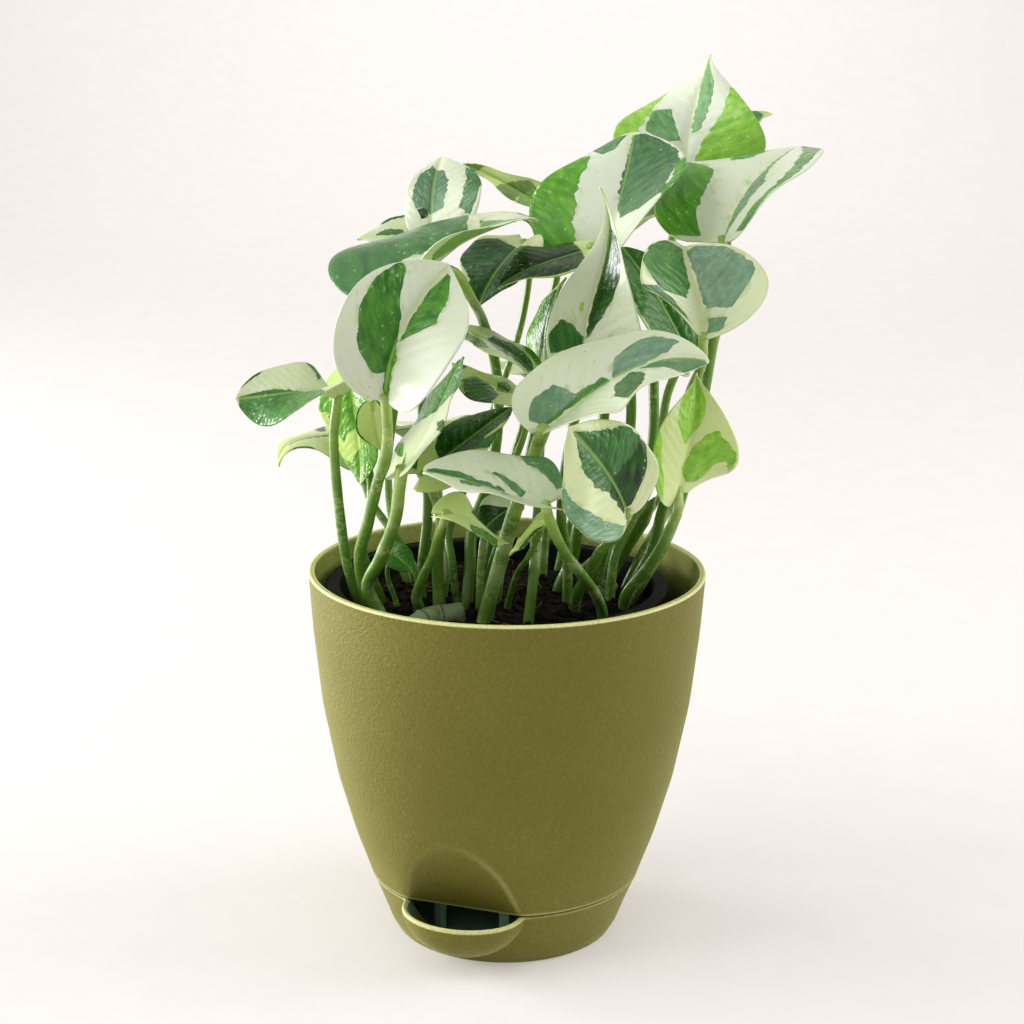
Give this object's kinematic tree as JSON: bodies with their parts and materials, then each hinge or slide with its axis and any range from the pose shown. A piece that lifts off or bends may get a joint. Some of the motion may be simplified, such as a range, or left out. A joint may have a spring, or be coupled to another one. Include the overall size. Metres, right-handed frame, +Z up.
{
  "type": "potted pothos plant",
  "caption": "Variegated pothos with waved white and green leaves on long stalks, growing in soil in a nursery pot inside a round self-watering pot with a spout.",
  "frame": {"origin": "centre of the reservoir's flat underside, on the pot's axis", "axes": "+Z up along the pot's axis, -Y towards the viewer of the picture, +X to the viewer's right"},
  "size_m": [0.1859, 0.175, 0.2862],
  "materials": {
    "olive_plastic": "fine matte grain with small light specks",
    "basket_plastic": "smooth, half matte",
    "nursery_plastic": "matte",
    "peat": "crumbly, with fibres",
    "leaf_white_green": "glossy quilted leaf, white and cream with green patches",
    "old_stem": "grey green with brown sheath rings"
  },
  "bodies": {
    "root": {"reservoir": "olive_plastic", "upper_pot": "olive_plastic", "wick_basket": "basket_plastic", "nursery_pot": "nursery_plastic", "leaf_01": "leaf_white_green", "leaf_02": "leaf_white_green", "leaf_03": "leaf_white_green", "leaf_03_b": "leaf_white_green", "leaf_04": "leaf_white_green", "leaf_05": "leaf_white_green", "leaf_06": "leaf_white_green", "leaf_07": "leaf_white_green", "leaf_08": "leaf_white_green", "leaf_09": "leaf_white_green", "leaf_09_b": "leaf_white_green", "leaf_10": "leaf_white_green", "leaf_11": "leaf_white_green", "leaf_12": "leaf_white_green", "leaf_13": "leaf_white_green", "leaf_14": "leaf_white_green", "leaf_15": "leaf_white_green", "leaf_17": "leaf_white_green", "leaf_18": "leaf_white_green", "leaf_19": "leaf_white_green", "leaf_20": "leaf_white_green", "leaf_21": "leaf_white_green", "leaf_22": "leaf_white_green", "leaf_23": "leaf_white_green", "leaf_24": "leaf_white_green", "leaf_25": "leaf_white_green", "leaf_26": "leaf_white_green", "leaf_28": "leaf_white_green", "leaf_29": "leaf_white_green", "leaf_30": "leaf_white_green", "leaf_31": "leaf_white_green", "leaf_back_1": "leaf_white_green", "leaf_back_2": "leaf_white_green", "leaf_back_3": "leaf_white_green", "leaf_back_4": "leaf_white_green", "leaf_back_5": "leaf_white_green", "stem_front": "old_stem", "stem_right": "old_stem", "rolled_leaf": "old_stem", "soil": "peat"}
  },
  "joints": []
}
